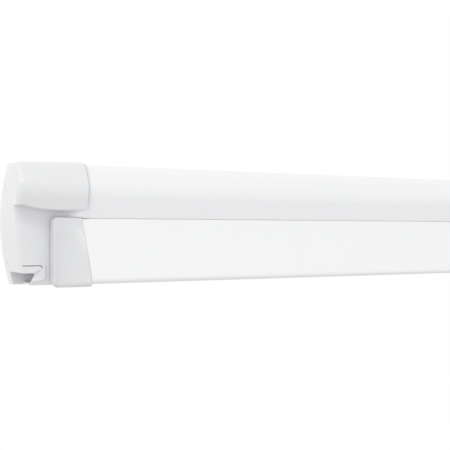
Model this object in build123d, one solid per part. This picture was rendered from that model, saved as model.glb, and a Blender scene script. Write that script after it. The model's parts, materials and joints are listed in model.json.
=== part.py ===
"""Roll-out awning: a closed wall cassette with folding arms, a lead rail and support legs.

Millimetres. The wall is the plane y = 0 and the awning opens towards -y. +z is up, x runs
along the awning, and the winch end is at -x. The origin is the centre of the wall bolts.
Sections are drawn as (depth from the wall, height).
"""

import math
import os

from build123d import *

os.makedirs("parts", exist_ok=True)

# Length along the wall
overall_length = 2600.0
cap_dome = 5.0
hood_width = 69.0
rail_inset = 33.0
rail_cap_width = 30.0
sleeve = 2.0

# Heights
top_z = 62.5
base_z = -61.0
window_top_z = 6.6

# Cassette section
cassette_wall = 2.0
cassette_back = 8.0
cassette_bottom_z = -60.0
cassette_shoulder_z = 57.0
crown_in = 30.0
crown_out = 76.0
cassette_front = 89.7
cassette_front_z = 36.0
cassette_chin = 83.0
cassette_floor_front = 69.5
cassette_radii = (3.0, 6.0, 40.0, 18.0, 24.0, 0.0, 0.0)
floor_lip = 4.0
front_lip = 3.0
port_radius = 3.5
port_bore = 2.0
port_places = ((13.0, 49.0), (12.4, -55.2), (69.0, 57.8))

# Hooks that hang the cassette on its wall brackets
hook_z_places = (28.0, -44.0)
hook_height = 12.0
hook_rib = 2.0
hook_lip = 1.7
hook_lip_back = 3.9
hook_gap = 0.3

# Wall brackets
bracket_count = 3
bracket_inset = 228.0
bracket_width = 60.0
bracket_plate = 3.0
bracket_top_z = 34.0
bracket_foot = 26.0
bracket_foot_thickness = 2.1
wall_hole_radius = 3.3
wall_hole_z = 18.0
bracket_screw_depth = 20.0
bracket_screw_radius = 2.0
bracket_screw_head = 4.0
bracket_screw_head_height = 2.2
bracket_screw_length = 5.0
screw_clearance = 0.1

# End brackets, cast plates that close the cassette and carry the roller
end_plate = 6.0
plate_gap = 0.2
plate_screw_head = 3.4
plate_screw_head_height = 2.0
plate_screw_length = 16.0

# End caps with their hoods
cap_wall = 2.0
cap_proud = 2.2
cap_back = 1.0
hood_low_z = 14.0
hood_chin = 86.0
hood_lip_rise = 5.6
hood_top_drop = 2.5
# Along the hood towards the end: share of its width, of its sweep back and of its lip's rise
hood_stations = (
    (0.0, 0.0, 0.0),
    (0.43, 0.01, 0.06),
    (0.72, 0.03, 0.28),
    (0.86, 0.07, 0.5),
    (0.95, 0.16, 0.76),
    (1.0, 0.32, 1.0),
)
recess_depth = 71.0
recess_lip_drop = 2.0
cap_radii = (2.0, 8.0, 40.0, 19.0, 24.0, 4.0, 1.5, 5.0)
dome_first = 3.0
dome_angles = (18.0, 52.0)
gasket_width = 3.5
gasket_proud = 1.5
gasket_gap = 0.1
cap_screw_depth = 20.0
cap_screw_z_places = (40.0, -40.0)
cap_screw_head = 4.0
cap_screw_radius = 2.0
cap_screw_head_height = 1.6
cap_post_radius = 5.0

# Crank outlet in the winch end cap
outlet_width = 18.5
outlet_depth = 26.0
outlet_top_z = -49.0
outlet_slope = 4.0
outlet_flare = 9.0
outlet_flare_depth = 9.0
outlet_wall = 2.0

# Roller and canopy
roller_depth = 43.5
roller_z = 22.0
roller_radius = 25.0
roller_wall = 1.6
roller_end_gap = 14.0
plug_length = 18.0
plug_flange = 2.0
roller_shaft_radius = 6.0
bush_radius = 10.0
bush_flange_radius = 13.0
bush_flange = 1.5
running_fit = 0.05
canopy_inset = 18.0
canopy_length = 2050.0
canopy_thickness = 0.6
soft_gap = 0.3
roll_gap = 0.3

# Winch gearbox
wheel_teeth = 14
gear_module = 1.6
wheel_width = 7.0
wheel_addendum = 1.3
wheel_dedendum = 1.9
tooth_root_half = 1.45
tooth_tip_half = 0.55
worm_pitch_radius = 5.0
worm_core_radius = 3.7
worm_tip_radius = 6.2
worm_root_half = 1.15
worm_tip_half = 0.5
worm_turns = 3.5
winch_out = 50.0
gearbox_wall = 2.0
gearbox_half = 18.0
gearbox_out_depth = 68.4
gearbox_end_gap = 8.2
worm_shaft_top = 34.0
socket_radius = 5.6
socket_length = 9.0
socket_bottom_z = -47.0
socket_across = 7.0
socket_depth = 7.0
gearbox_screw_radius = 1.7
gearbox_screw_head = 3.2
gearbox_ear = 8.0
gearbox_ear_thickness = 3.0

# Folding arms, in the arm plane, which leans down from the wall
arm_lean = 5.0
shoulder_inset = 38.0
shoulder_depth = 25.0
shoulder_z = -34.0
elbow_gap = 110.0
arm_offset = 16.0
arm_wall = 1.8
arm_corner = 3.0
upper_width = 24.0
upper_height = 32.0
fore_width = 20.0
fore_height = 28.0
arm_start = 22.0
flange_length = 4.0
arm_plug_length = 26.0
shoulder_eye = 11.5
elbow_eye = 13.0
wrist_eye = 11.0
pin_radius = 5.0
pin_fit = 0.06
pin_head = 1.5
pin_head_radius = 7.0
shoulder_tongue = 16.0
elbow_tongue = 14.0
wrist_tongue = 13.0
fork_gap = 0.3
fork_plate = 6.5
bracket_base = 2.5
shoulder_base_back = 21.5
shoulder_base_front = 14.0
shoulder_base_low_z = -50.0
shoulder_base_high_z = -15.0
wrist_base_half = 14.0
wrist_base_low_z = -53.0
wrist_base_high_z = -21.0
arm_spring_radius = 9.0
arm_spring_bore = 6.0
arm_spring_length = 560.0
arm_cable_radius = 1.8
bolt_radius = 2.5
bolt_head_radius = 4.2
bolt_head_height = 2.4

# Lead rail section
rail_back = 72.0
rail_top_z = 6.0
rail_top_front = 84.0
rail_knee_depth = 91.0
rail_knee_z = -5.0
rail_toe = 122.0
rail_base_z = -59.4
rail_radii = (1.5, 3.0, 20.0, 4.0, 1.0)
rail_skin = 2.3
rail_web = 2.0
channel_top_z = -43.5
chamber_top_z = -7.0
toe_lip = 3.5
keder_depth = 78.0
keder_z = 0.5
keder_groove = 3.0
keder_slot = 2.2

# Lead rail caps
rail_cap_grow = 1.0
rail_cap_drop = 2.0
rail_cap_end_front = 88.0
rail_cap_end_knee = 0.4
rail_cap_round = 3.0
rail_cap_round_share = 0.35
rail_cap_wall = 2.0

# Support legs, in two lanes of the rail's channel
leg_pivot_inset = 42.0
leg_z = -52.0
leg_size = 14.0
leg_wall = 1.2
left_lane_depth = 82.0
right_lane_depth = 97.0
leg_start = 11.0
leg_length = 1130.0
leg_slide_gap = 0.2
leg_slide_inset = 60.0
leg_slide_out = 8.0
leg_corner = 1.5
leg_eye = 6.0
leg_eye_width = 9.0
leg_pin_radius = 2.5
leg_cheek_gap = 0.3
leg_cheek = 3.0
leg_cheek_half = 7.0
leg_cheek_low_z = -58.5
leg_bracket_top = 2.0
foot_pin_out = 7.0
foot_eye = 4.5
foot_eye_width = 5.0
foot_pin_radius = 1.6
foot_length = 44.0
foot_width = 13.0
foot_thickness = 4.0
foot_ear = 2.6
lever_length = 32.0
lever_width = 10.0
lever_thickness = 1.3
lever_inset = 8.0
lever_barrel = 1.3
lever_gap = 0.15
clip_wall = 0.8
clip_length = 20.0
clip_low_z = -56.5
clip_reach = 790.0
clip_gap = 0.2

# Places that follow from the sizes above
edge_x = overall_length / 2 - cap_dome
hood_in_x = edge_x - hood_width
profile_x = hood_in_x + sleeve
plate_out_x = profile_x + end_plate
rail_cap_x = edge_x - rail_inset
rail_x = rail_cap_x - rail_cap_width
bracket_spacing = 2 * (profile_x - bracket_inset) / (bracket_count - 1)
roller_end_x = profile_x - roller_end_gap
canopy_width = 2 * (roller_end_x - canopy_inset)
winch_x = plate_out_x + winch_out
shoulder_x = profile_x - shoulder_inset
arm_reach = shoulder_x - elbow_gap
leg_pivot_x = rail_x - leg_pivot_inset
clip_x = leg_pivot_x - clip_reach
leg_lane_depths = {"left": left_lane_depth, "right": right_lane_depth}
dome_steps = ((dome_first, dome_angles[0]), (cap_dome - dome_first, dome_angles[1]))
overrun = 2 * cap_dome
lean = math.radians(arm_lean)
axial_pitch = math.pi * gear_module
wheel_radius = gear_module * wheel_teeth / 2
worm_depth = roller_depth + wheel_radius + worm_pitch_radius
roll_radius = math.sqrt((roller_radius + roll_gap) ** 2 + canopy_length * canopy_thickness / math.pi)


def outline(points, radii):
    """Closed section through the points, each corner rounded to its own radius."""
    return make_face(FilletPolyline(*points, radius=list(radii), close=True).edges())


def rectangle(depth_in, depth_out, z_low, z_high):
    """Rectangle in a section, between two depths and two heights."""
    centre = ((depth_in + depth_out) / 2, (z_low + z_high) / 2)
    return Pos(*centre) * Rectangle(depth_out - depth_in, z_high - z_low)


def section_plane(x_high):
    """Plane with its first axis away from the wall and its second upwards."""
    return Plane(origin=(x_high, 0, 0), x_dir=(0, -1, 0), z_dir=(-1, 0, 0))


def bar(section, x_low, x_high):
    """Section drawn out along x."""
    return extrude(section_plane(x_high) * section, amount=x_high - x_low)


def block(x_low, x_high, depth_in, depth_out, z_low, z_high):
    """Box between two places along x, two depths and two heights."""
    return bar(rectangle(depth_in, depth_out, z_low, z_high), x_low, x_high)


def rod(radius, start, end):
    """Round bar from one point to another."""
    path = Vector(*end) - Vector(*start)
    return extrude(Plane(origin=start, z_dir=path) * Circle(radius), amount=path.length)


def along_x(radius, depth, height, x_low, x_high):
    """Round bar along x at a depth and a height."""
    return rod(radius, (x_low, -depth, height), (x_high, -depth, height))


def along_y(radius, x, height, depth_in, depth_out):
    """Round bar square to the wall."""
    return rod(radius, (x, -depth_in, height), (x, -depth_out, height))


def along_z(radius, x, depth, z_low, z_high):
    """Upright round bar."""
    return rod(radius, (x, -depth, z_low), (x, -depth, z_high))


def group(pieces):
    """Several separate solids as one node."""
    return Compound(children=[solid for piece in pieces for solid in piece.solids()])


def save(name, shape):
    """Writes one node."""
    export_step(shape, f"parts/{name}.step")


def save_sides(name, left_shape):
    """Writes a left-hand piece and its mirror image."""
    save(f"left_{name}", left_shape)
    save(f"right_{name}", mirror(left_shape, about=Plane.YZ))


# Cassette

def cassette_outline():
    """Outer outline of the cassette, closed across its front opening."""
    points = (
        (cassette_back, cassette_bottom_z),
        (cassette_back, cassette_shoulder_z),
        (crown_in, top_z),
        (crown_out, top_z),
        (cassette_front, cassette_front_z),
        (cassette_chin, window_top_z),
        (cassette_chin, cassette_bottom_z),
    )
    return outline(points, cassette_radii)


def front_opening():
    """The part of the section that the lead rail closes."""
    return rectangle(
        cassette_floor_front, cassette_front + overrun, base_z - overrun, window_top_z
    )


def hook_sections():
    """Ribs and lips on the cassette's back that hang over the brackets."""
    ribs = []
    for hook_z in hook_z_places:
        rib_z = hook_z + hook_height - hook_rib
        ribs.append(rectangle(hook_lip_back, cassette_back + cassette_wall / 2, rib_z, rib_z + hook_rib))
        ribs.append(rectangle(hook_lip_back, hook_lip_back + hook_lip, hook_z + hook_gap, rib_z + hook_rib))
    return ribs


def cassette_profile():
    """Extruded shell, open at the lower front, with screw ports and hooks."""
    shell = cassette_outline() - offset(cassette_outline(), amount=-cassette_wall)
    shell -= front_opening()
    shell += rectangle(
        cassette_chin - front_lip, cassette_chin, window_top_z, window_top_z + cassette_wall
    )
    shell += rectangle(
        cassette_floor_front - cassette_wall,
        cassette_floor_front,
        cassette_bottom_z,
        cassette_bottom_z + floor_lip,
    )
    for rib in hook_sections():
        shell += rib
    for place in port_places:
        shell += (Pos(*place) * Circle(port_radius)) & cassette_outline()
    for place in port_places:
        shell -= Pos(*place) * Circle(port_bore)
    profile = bar(shell, -profile_x, profile_x)
    for x in bracket_places():
        profile -= along_z(
            bracket_screw_radius, x, bracket_screw_depth, base_z - overrun, cassette_bottom_z + floor_lip
        )
    return profile


# Wall brackets

def bracket_places():
    """Places of the brackets along the wall, even about the middle."""
    return [(i - (bracket_count - 1) / 2) * bracket_spacing for i in range(bracket_count)]


def wall_bracket(x):
    """Plate with two upturned hooks and a foot under the cassette."""
    foot_z = cassette_bottom_z - bracket_foot_thickness
    section = rectangle(0, bracket_plate, foot_z, bracket_top_z)
    section += rectangle(0, bracket_foot, foot_z, cassette_bottom_z)
    lip_out = cassette_back - hook_gap
    lip_in = hook_lip_back + hook_lip + hook_gap
    for hook_z in hook_z_places:
        section += rectangle(0, lip_out, hook_z - hook_rib, hook_z)
        section += rectangle(lip_in, lip_out, hook_z - hook_rib, hook_z + hook_height - 2 * hook_rib)
    plate = bar(section, x - bracket_width / 2, x + bracket_width / 2)
    for z in (-wall_hole_z, wall_hole_z):
        plate -= along_y(wall_hole_radius, x, z, -overrun, bracket_plate + overrun)
    plate -= along_z(
        bracket_screw_radius + screw_clearance,
        x,
        bracket_screw_depth,
        foot_z - overrun,
        cassette_bottom_z + floor_lip,
    )
    return plate


def bracket_screw(x):
    """Screw up through a bracket's foot into the cassette's floor."""
    head_top = cassette_bottom_z - bracket_foot_thickness
    head = along_z(
        bracket_screw_head, x, bracket_screw_depth, head_top - bracket_screw_head_height, head_top
    )
    return head + along_z(
        bracket_screw_radius, x, bracket_screw_depth, head_top, head_top + bracket_screw_length
    )


# End brackets and caps, drawn for the left end

def end_bracket():
    """Cast plate on the cassette's end, with the roller's bearing seat."""
    section = cassette_outline() - front_opening()
    section &= cap_outline(inset=cap_wall + plate_gap)
    plate = bar(section, -plate_out_x, -profile_x)
    plate -= along_x(bush_radius, roller_depth, roller_z, -plate_out_x - overrun, -profile_x + overrun)
    for place in port_places:
        plate -= along_x(
            port_bore + screw_clearance, *place, -plate_out_x - overrun, -profile_x + overrun
        )
    for z in cap_screw_z_places:
        plate += along_x(cap_post_radius, cap_screw_depth, z, -edge_x + cap_wall, -plate_out_x)
        plate -= along_x(cap_screw_radius, cap_screw_depth, z, -edge_x - overrun, -plate_out_x)
    return plate


def end_bracket_screws():
    """Screws through both end plates into the cassette's ports, and those of the gearbox."""
    screws = []
    for depth, z in port_places:
        screw = along_x(
            plate_screw_head, depth, z, -plate_out_x - plate_screw_head_height, -plate_out_x
        )
        screw += along_x(port_bore, depth, z, -plate_out_x, -plate_out_x + plate_screw_length)
        screws += [screw, mirror(screw, about=Plane.YZ)]
    return group(screws + gearbox_screws())


def cap_outline(sweep=0.0, rise=0.0, inset=0.0):
    """Outline of an end cap: the hood, swept back and its lip raised by shares, over the recessed face."""
    top = top_z + cap_proud - sweep * hood_top_drop - inset
    lip = hood_low_z + rise * hood_lip_rise + inset
    front = cassette_front + cap_proud
    chin = hood_chin - sweep * (hood_chin - recess_depth) - inset
    points = (
        (cap_back + inset, base_z + inset),
        (cap_back + inset, cassette_shoulder_z + cap_proud - sweep * hood_top_drop - inset),
        (crown_in, top),
        (crown_out + cap_proud / 2 - sweep * (front - recess_depth), top),
        (front - sweep * (front - recess_depth) - inset, cassette_front_z),
        (chin, lip),
        (recess_depth - inset, lip - recess_lip_drop),
        (recess_depth - inset, base_z + inset),
    )
    return outline(points, cap_radii)


def cap_loft(inset, inner_x, outer_x):
    """Solid of an end cap between two places, drawn in by an inset."""
    faces = []
    for share, sweep, rise in hood_stations:
        x = inner_x + share * (outer_x - inner_x)
        faces.append(section_plane(-x) * cap_outline(sweep, rise, inset))
    return loft(faces, ruled=True)


def domed_end(section, x_from, steps):
    """Section drawn out towards -x in steps that draw in like a dome."""
    solid = None
    x = x_from
    for length, angle in steps:
        step = extrude(section_plane(x) * section, amount=length, taper=angle)
        solid = step if solid is None else solid + step
        x -= length
        section = offset(section, amount=-length * math.tan(math.radians(angle)))
    return solid


def end_cap():
    """Hollow plastic cap with a domed side."""
    shell = cap_loft(0.0, hood_in_x, edge_x)
    shell += domed_end(cap_outline(*hood_stations[-1][1:]), -edge_x, dome_steps)
    shell -= cap_loft(cap_wall, profile_x, edge_x - cap_wall)
    shell -= bar(cap_outline(inset=cap_wall), -profile_x, -hood_in_x + overrun)
    shell += block(
        -profile_x - gasket_gap - cap_wall,
        -profile_x - gasket_gap,
        recess_depth - cap_wall,
        cassette_chin,
        window_top_z,
        hood_low_z,
    )
    shell -= bar(offset(cassette_outline(), amount=gasket_gap), -profile_x - gasket_gap, -hood_in_x + overrun)
    for z in cap_screw_z_places:
        shell -= along_x(
            cap_screw_radius + screw_clearance, cap_screw_depth, z, -edge_x - overrun, -profile_x
        )
        shell -= along_x(
            cap_screw_head + screw_clearance,
            cap_screw_depth,
            z,
            -edge_x - overrun,
            -edge_x,
        )
    return shell


def outlet_section(depth, grow, flare):
    """Front view of the crank outlet at a depth, with its inner side sloping."""
    inner_x = -edge_x + outlet_width + flare
    low_z = base_z - overrun
    points = (
        (-edge_x - overrun, low_z),
        (-edge_x - overrun, outlet_top_z + grow),
        (inner_x + grow, outlet_top_z + grow),
        (inner_x - outlet_slope + grow, low_z),
    )
    front = Plane(origin=(0, -depth, 0), x_dir=(1, 0, 0), z_dir=(0, -1, 0))
    return front * make_face(Polyline(*points, close=True).edges())


def outlet(grow, depth_out):
    """Space of the crank outlet, open to the front, the side and below, its inner side flaring out."""
    bend = recess_depth - outlet_flare_depth
    deep = extrude(outlet_section(bend, grow, 0), amount=-(outlet_depth - outlet_flare_depth + grow))
    wide = outlet_section(recess_depth, grow, outlet_flare)
    flared = loft([outlet_section(bend, grow, 0), wide], ruled=True)
    space = deep + flared
    if depth_out > recess_depth:
        space += extrude(wide, amount=depth_out - recess_depth)
    return space


def winch_end_cap():
    """End cap with the crank outlet let into its lower corner."""
    cap = end_cap()
    body = cap_loft(0.0, hood_in_x, edge_x)
    cap += outlet(outlet_wall, recess_depth) & body
    cap -= outlet(0, recess_depth + overrun)
    cap -= along_z(
        socket_radius + screw_clearance * 4,
        -winch_x,
        worm_depth,
        outlet_top_z - overrun,
        outlet_top_z + outlet_wall + overrun,
    )
    return cap


def cap_gasket():
    """Thin rim between the hood and the cassette."""
    ring = offset(cassette_outline(), amount=gasket_proud) - offset(cassette_outline(), amount=gasket_gap)
    ring -= rectangle(-overrun, cassette_front + overrun, base_z - overrun, hood_low_z)
    ring -= rectangle(-overrun, cassette_back + hook_rib, base_z - overrun, top_z + overrun)
    return bar(ring, -hood_in_x, -hood_in_x + gasket_width)


def end_cap_screws():
    """Two screws through each cap into the posts of the end bracket."""
    screws = []
    for z in cap_screw_z_places:
        screw = along_x(cap_screw_head, cap_screw_depth, z, -edge_x - cap_screw_head_height, -edge_x)
        screw += along_x(cap_screw_radius, cap_screw_depth, z, -edge_x, -plate_out_x - sleeve)
        screws += [screw, mirror(screw, about=Plane.YZ)]
    return group(screws)


# Roller and canopy

def roller_tube():
    """Tube that the canopy winds on."""
    tube = along_x(roller_radius, roller_depth, roller_z, -roller_end_x, roller_end_x)
    return tube - along_x(
        roller_radius - roller_wall, roller_depth, roller_z, -roller_end_x, roller_end_x
    )


def roller_plug(shaft_end_x):
    """Plug at the left end of the tube, with its shaft out to a given place."""
    plug = along_x(
        roller_radius - roller_wall,
        roller_depth,
        roller_z,
        -roller_end_x,
        -roller_end_x + plug_length,
    )
    plug += along_x(
        roller_radius, roller_depth, roller_z, -roller_end_x - plug_flange, -roller_end_x
    )
    return plug + along_x(
        roller_shaft_radius, roller_depth, roller_z, -shaft_end_x, -roller_end_x
    )


def roller_bush():
    """Flanged bush in the left end bracket."""
    bush = along_x(bush_radius, roller_depth, roller_z, -plate_out_x, -profile_x)
    bush += along_x(
        bush_flange_radius, roller_depth, roller_z, -profile_x, -profile_x + bush_flange
    )
    return bush - along_x(
        roller_shaft_radius + running_fit, roller_depth, roller_z, -plate_out_x, -hood_in_x + bush_flange
    )


def canopy_roll():
    """Canopy wound on its tube."""
    half = canopy_width / 2
    roll = along_x(roll_radius, roller_depth, roller_z, -half, half)
    return roll - along_x(roller_radius + running_fit, roller_depth, roller_z, -half, half)


def canopy_front():
    """Front stretch of the canopy, from the roll down into the lead rail."""
    start = Vector(keder_depth, keder_z + keder_groove)
    centre = Vector(roller_depth, roller_z)
    reach = centre - start
    run_radius = roll_radius + soft_gap + canopy_thickness / 2
    run = math.sqrt(reach.length**2 - run_radius**2)
    turn = math.degrees(math.asin(run_radius / reach.length))
    direction = reach.normalized().rotate(Axis.Z, -turn)
    side = direction.rotate(Axis.Z, 90) * (canopy_thickness / 2)
    end = start + direction * run
    strip = make_face(Polyline(start + side, end + side, end - side, start - side, close=True).edges())
    return bar(strip, -canopy_width / 2, canopy_width / 2)


# Winch

def worm_wheel():
    """Gear wheel on the roller's shaft, with one tooth pointing at the worm."""
    root = wheel_radius - wheel_dedendum
    tip = wheel_radius + wheel_addendum
    face = Circle(root)
    tooth = make_face(
        Polyline(
            (root - wheel_dedendum, -tooth_root_half),
            (tip, -tooth_tip_half),
            (tip, tooth_tip_half),
            (root - wheel_dedendum, tooth_root_half),
            close=True,
        ).edges()
    )
    for i in range(wheel_teeth):
        face += Rot(0, 0, 360 / wheel_teeth * i) * tooth
    face -= Circle(roller_shaft_radius)
    placed = Pos(roller_depth, roller_z) * face
    return bar(placed, -winch_x - wheel_width / 2, -winch_x + wheel_width / 2)


def worm_shaft():
    """Single-start worm on an upright shaft that ends in the crank socket."""
    thread_z = roller_z - worm_turns / 2 * axial_pitch
    path = Helix(pitch=axial_pitch, height=worm_turns * axial_pitch, radius=worm_core_radius)
    start = path @ 0
    depth = worm_tip_radius - worm_core_radius
    profile_points = (
        (-worm_core_radius / 4, -worm_root_half),
        (depth, -worm_tip_half),
        (depth, worm_tip_half),
        (-worm_core_radius / 4, worm_root_half),
    )
    plane = Plane(origin=start, x_dir=(1, 0, 0), z_dir=path % 0)
    profile = plane * make_face(Polyline(*profile_points, close=True).edges())
    thread = sweep(profile, path=path, is_frenet=True)
    thread = Pos(-winch_x, -worm_depth, thread_z) * thread
    core = along_z(worm_core_radius, -winch_x, worm_depth, socket_bottom_z, worm_shaft_top)
    return core + thread


def winch_socket():
    """Cup with a six-sided hole that takes the crank."""
    cup = along_z(
        socket_radius, -winch_x, worm_depth, socket_bottom_z - socket_length, socket_bottom_z
    )
    hexagon = RegularPolygon(radius=socket_across / 2, side_count=6, major_radius=False)
    hole = extrude(
        Plane(origin=(-winch_x, -worm_depth, socket_bottom_z - socket_length)) * hexagon,
        amount=socket_depth,
    )
    return cup - hole


def gearbox_housing():
    """Box round the worm and its wheel, on the outside of the left end bracket."""
    x_low = -winch_x - gearbox_end_gap
    low_z = roller_z - gearbox_half
    high_z = roller_z + gearbox_half
    wall = gearbox_wall
    box = block(x_low, -plate_out_x, roller_depth - gearbox_half, gearbox_out_depth, low_z, high_z)
    box -= block(
        x_low + wall,
        -plate_out_x,
        roller_depth - gearbox_half + wall,
        gearbox_out_depth - wall,
        low_z + wall,
        high_z - wall,
    )
    box -= along_x(
        roller_shaft_radius + running_fit, roller_depth, roller_z, x_low - overrun, -plate_out_x
    )
    box -= along_z(worm_core_radius + running_fit, -winch_x, worm_depth, low_z - overrun, high_z - wall)
    for z_low, z_high in gearbox_ear_heights():
        ear = block(
            -plate_out_x - gearbox_ear_thickness,
            -plate_out_x,
            roller_depth - gearbox_ear,
            roller_depth + gearbox_ear,
            z_low,
            z_high,
        )
        centre_z = (z_low + z_high) / 2
        ear -= along_x(
            gearbox_screw_radius + screw_clearance,
            roller_depth,
            centre_z,
            -plate_out_x - overrun,
            -plate_out_x + overrun,
        )
        box += ear
    return box


def gearbox_ear_heights():
    """Heights of the two screw ears above and below the gearbox."""
    low_z = roller_z - gearbox_half
    high_z = roller_z + gearbox_half
    return ((low_z - gearbox_ear, low_z), (high_z, high_z + gearbox_ear))


def gearbox_screws():
    """Screws through the ears into the end bracket."""
    screws = []
    for z_low, z_high in gearbox_ear_heights():
        centre_z = (z_low + z_high) / 2
        seat = -plate_out_x - gearbox_ear_thickness
        screw = along_x(gearbox_screw_head, roller_depth, centre_z, seat - gearbox_wall, seat)
        screw += along_x(gearbox_screw_radius, roller_depth, centre_z, seat, -plate_out_x)
        screws.append(screw)
    return screws


# Folding arms, drawn for the left arm in its own plane and then leant

def arm_place(shape):
    """Moves a shape from the arm's plane to the left shoulder."""
    return Pos(-shoulder_x, -shoulder_depth, shoulder_z) * Rot(arm_lean, 0, 0) * shape


def arm_bar(x_low, x_high, centre_y, width, height):
    """Rounded bar of an arm, along its length."""
    plane = Plane(origin=(x_low, centre_y, 0), x_dir=(0, 1, 0), z_dir=(1, 0, 0))
    return extrude(plane * RectangleRounded(width, height, arm_corner), amount=x_high - x_low)


def arm_tube(centre_y, width, height):
    """Hollow arm between its two end castings."""
    x_low = arm_start
    x_high = arm_reach - arm_start
    tube = arm_bar(x_low, x_high, centre_y, width, height)
    plane = Plane(origin=(x_low, centre_y, 0), x_dir=(0, 1, 0), z_dir=(1, 0, 0))
    bore = RectangleRounded(width - 2 * arm_wall, height - 2 * arm_wall, arm_corner - arm_wall)
    return tube - extrude(plane * bore, amount=x_high - x_low)


def eye_lug(eye_x, eye_y, eye, face_x, centre_y, width, z_low, z_high):
    """Plate that runs from an arm's end face to the round eye of its pivot."""
    plate = make_hull(
        (
            Pos(eye_x, eye_y) * Circle(eye)
            + Pos(face_x, centre_y) * Rectangle(arm_wall, width - 2 * arm_corner)
        ).edges()
    )
    return extrude(Plane(origin=(0, 0, z_low)) * plate, amount=z_high - z_low)


def plugged_end(at_start, centre_y, width, height):
    """Flange and plug of an end casting, at either end of an arm."""
    face = arm_start if at_start else arm_reach - arm_start
    inward = 1 if at_start else -1
    ends = sorted((face - inward * flange_length, face))
    flange = arm_bar(*ends, centre_y, width, height)
    plug_ends = sorted((face, face + inward * arm_plug_length))
    plane = Plane(origin=(plug_ends[0], centre_y, 0), x_dir=(0, 1, 0), z_dir=(1, 0, 0))
    plug = RectangleRounded(width - 2 * arm_wall, height - 2 * arm_wall, arm_corner - arm_wall)
    return flange + extrude(plane * plug, amount=arm_plug_length)


def pivot_bore(x, y):
    """Space of a pivot pin with its running fit."""
    return Pos(x, y, 0) * Cylinder(pin_radius + pin_fit, upper_height * 2)


def tongue_end(at_start, eye_x, eye_y, eye, tongue, centre_y, width, height):
    """End casting with one central tongue."""
    inward = 1 if at_start else -1
    face_x = (arm_start - flange_length) if at_start else (arm_reach - arm_start + flange_length)
    lug = eye_lug(
        eye_x, eye_y, eye, face_x + inward * arm_wall / 2, centre_y, width, -tongue / 2, tongue / 2
    )
    return plugged_end(at_start, centre_y, width, height) + lug - pivot_bore(eye_x, eye_y)


def elbow_fork():
    """End casting of the forearm with two plates round the elbow's tongue."""
    casting = plugged_end(False, -2 * arm_offset, fore_width, fore_height)
    low = elbow_tongue / 2 + fork_gap
    for z in (low, -low - fork_plate):
        casting += eye_lug(
            arm_reach,
            -arm_offset,
            elbow_eye,
            arm_reach - arm_start + flange_length - arm_wall / 2,
            -2 * arm_offset,
            fore_width,
            z,
            z + fork_plate,
        )
    return casting - pivot_bore(arm_reach, -arm_offset)


def pivot_pin(x, y, tongue):
    """Pin through a fork and its tongue, with a head at each end."""
    half = tongue / 2 + fork_gap + fork_plate
    pin = Pos(x, y, 0) * Cylinder(pin_radius, 2 * half)
    for side in (-1, 1):
        pin += Pos(x, y, side * (half + pin_head / 2)) * Cylinder(pin_head_radius, pin_head)
    return pin


def pivot_fork(x, y, eye, tongue, base_y):
    """Two fork plates from a pivot back to a base plane, in the arm's plane."""
    plates = None
    low = tongue / 2 + fork_gap
    for z in (low, -low - fork_plate):
        plate = make_hull(
            (Pos(x, y) * Circle(eye) + Pos(x, base_y) * Rectangle(2 * eye, arm_wall)).edges()
        )
        plate = extrude(Plane(origin=(0, 0, z)) * plate, amount=fork_plate)
        plates = plate if plates is None else plates + plate
    return plates - Pos(x, y, 0) * Cylinder(pin_radius, upper_height * 2)


def shoulder_bracket():
    """Casting bolted to the cassette's back, with the fork of the shoulder."""
    wall_depth = cassette_back + cassette_wall
    fork = arm_place(pivot_fork(0, 0, shoulder_eye, shoulder_tongue, shoulder_depth - wall_depth))
    base = block(
        -shoulder_x - shoulder_base_back,
        -shoulder_x + shoulder_base_front,
        wall_depth,
        wall_depth + bracket_base,
        shoulder_base_low_z,
        shoulder_base_high_z,
    )
    beyond = block(
        -shoulder_x - shoulder_base_back * 2,
        -shoulder_x + shoulder_base_back * 2,
        -overrun,
        wall_depth,
        base_z,
        top_z,
    )
    bracket = base + fork - beyond
    for x, z in shoulder_bolt_places():
        bracket -= along_y(bolt_radius, x, z, 0, wall_depth + bracket_base + overrun / 2)
    return bracket


def shoulder_bolt_places():
    """Places of the two bolts beside the shoulder's fork."""
    x = -shoulder_x - shoulder_base_back + bolt_head_radius
    low = shoulder_base_low_z + bolt_head_radius + bolt_radius
    high = shoulder_base_high_z - bolt_head_radius
    return ((x, low), (x, high))


def shoulder_bolts():
    """Bolts of both shoulder brackets."""
    seat = cassette_back + cassette_wall + bracket_base
    bolts = []
    for x, z in shoulder_bolt_places():
        bolt = along_y(bolt_radius, x, z, cassette_back + cassette_wall, seat)
        bolt += along_y(bolt_head_radius, x, z, seat, seat + bolt_head_height)
        bolts += [bolt, mirror(bolt, about=Plane.YZ)]
    return group(bolts)


def wrist_bracket():
    """Casting on the lead rail's back, with the fork of the wrist."""
    wrist_depth = shoulder_depth + 2 * arm_offset * math.cos(lean)
    base_y = -2 * arm_offset - (rail_back - wrist_depth)
    fork = arm_place(pivot_fork(0, -2 * arm_offset, wrist_eye, wrist_tongue, base_y))
    base = block(
        -shoulder_x - wrist_base_half,
        -shoulder_x + wrist_base_half,
        rail_back - bracket_base,
        rail_back,
        wrist_base_low_z,
        wrist_base_high_z,
    )
    beyond = block(
        -shoulder_x - wrist_base_half * 2,
        -shoulder_x + wrist_base_half * 2,
        rail_back,
        rail_toe,
        base_z,
        top_z,
    )
    return base + fork - beyond


def arm_spring():
    """Spring pack inside the upper arm, against the shoulder casting."""
    start = arm_start + arm_plug_length
    plane = Plane(origin=(start, 0, 0), x_dir=(0, 1, 0), z_dir=(1, 0, 0))
    return extrude(plane * (Circle(arm_spring_radius) - Circle(arm_spring_bore)), amount=arm_spring_length)


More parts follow.
